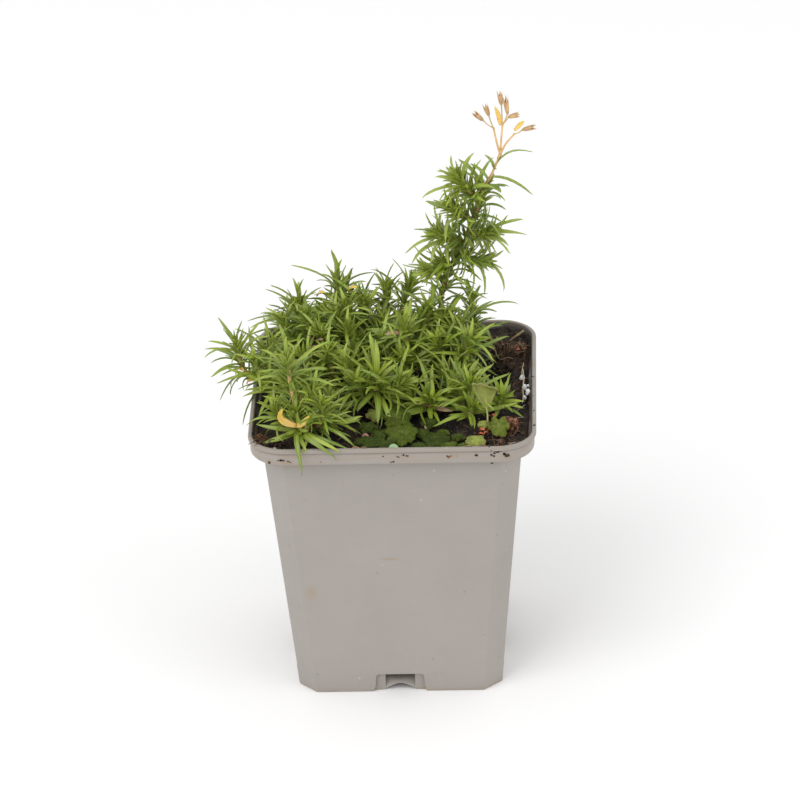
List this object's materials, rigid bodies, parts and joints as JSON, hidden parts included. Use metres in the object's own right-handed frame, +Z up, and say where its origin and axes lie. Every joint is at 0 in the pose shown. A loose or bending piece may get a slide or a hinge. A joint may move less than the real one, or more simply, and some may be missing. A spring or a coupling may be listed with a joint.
{
  "type": "creeping phlox in a nursery pot",
  "caption": "Young creeping phlox with needle-like leaves and a tall dried seed head, growing in peat in a square tapered nursery pot with drain slots.",
  "frame": {"origin": "centre of the pot's underside, on the surface that the pot stands on", "axes": "+Z up; -Y towards the side that the low shoots lean to, the pictured front; +X to the right seen from the front, the side of the tall stem"},
  "size_m": [0.1069, 0.0949, 0.1868],
  "materials": {
    "pot_plastic": "taupe-grey moulded plastic, satin to matt",
    "peat": "dark brown moist peat, crumbly and fibrous",
    "leaf_green": "living leaf, satin, lighter at the shoot tips",
    "straw": "dry straw, matt",
    "yellow_leaf": "dying leaf, yellow to orange, satin",
    "dry_leaf": "dry leaf, brown, matt",
    "seedling_green": "soft veined leaf, satin",
    "wilted_leaf": "limp olive leaf, matt",
    "root_fibre": "coarse reddish-brown fibre",
    "grit": "rough pinkish grit",
    "pale_grain": "smooth pale green grain",
    "perlite": "white, rough and porous"
  },
  "bodies": {
    "root": {"bract_middle": "yellow_leaf", "bract_right": "yellow_leaf", "dry_leaf_back": "dry_leaf", "dry_leaf_centre": "dry_leaf", "dry_leaf_front": "dry_leaf", "dry_twig": "dry_leaf", "grit_stone": "grit", "leafy_stem_back_left": "leaf_green", "leafy_stem_back_mid_left": "leaf_green", "leafy_stem_back_middle": "leaf_green", "leafy_stem_brush": "leaf_green", "leafy_stem_centre": "leaf_green", "leafy_stem_centre_back": "leaf_green", "leafy_stem_front_centre": "leaf_green", "leafy_stem_front_left": "leaf_green", "leafy_stem_front_low": "leaf_green", "leafy_stem_front_mid": "leaf_green", "leafy_stem_front_right": "leaf_green", "leafy_stem_left": "leaf_green", "leafy_stem_left_top": "leaf_green", "leafy_stem_mid_left": "leaf_green", "leafy_stem_middle": "leaf_green", "leafy_stem_mound": "leaf_green", "leafy_stem_right": "leaf_green", "leafy_stem_right_back": "leaf_green", "leafy_stem_right_low": "leaf_green", "pale_grain": "pale_grain", "perlite_back": "perlite", "perlite_front": "perlite", "pot": "pot_plastic", "root_clump_back": "root_fibre", "root_clump_front": "root_fibre", "seed_head": "straw", "seedling_big": "seedling_green", "seedling_dark": "seedling_green", "seedling_grey": "seedling_green", "seedling_left": "seedling_green", "seedling_light": "seedling_green", "seedling_right": "seedling_green", "seedling_small": "seedling_green", "soil": "peat", "tall_stem": "leaf_green", "wilted_leaf": "wilted_leaf", "yellow_leaf_left": "yellow_leaf", "yellow_leaf_right": "yellow_leaf"}
  },
  "joints": []
}
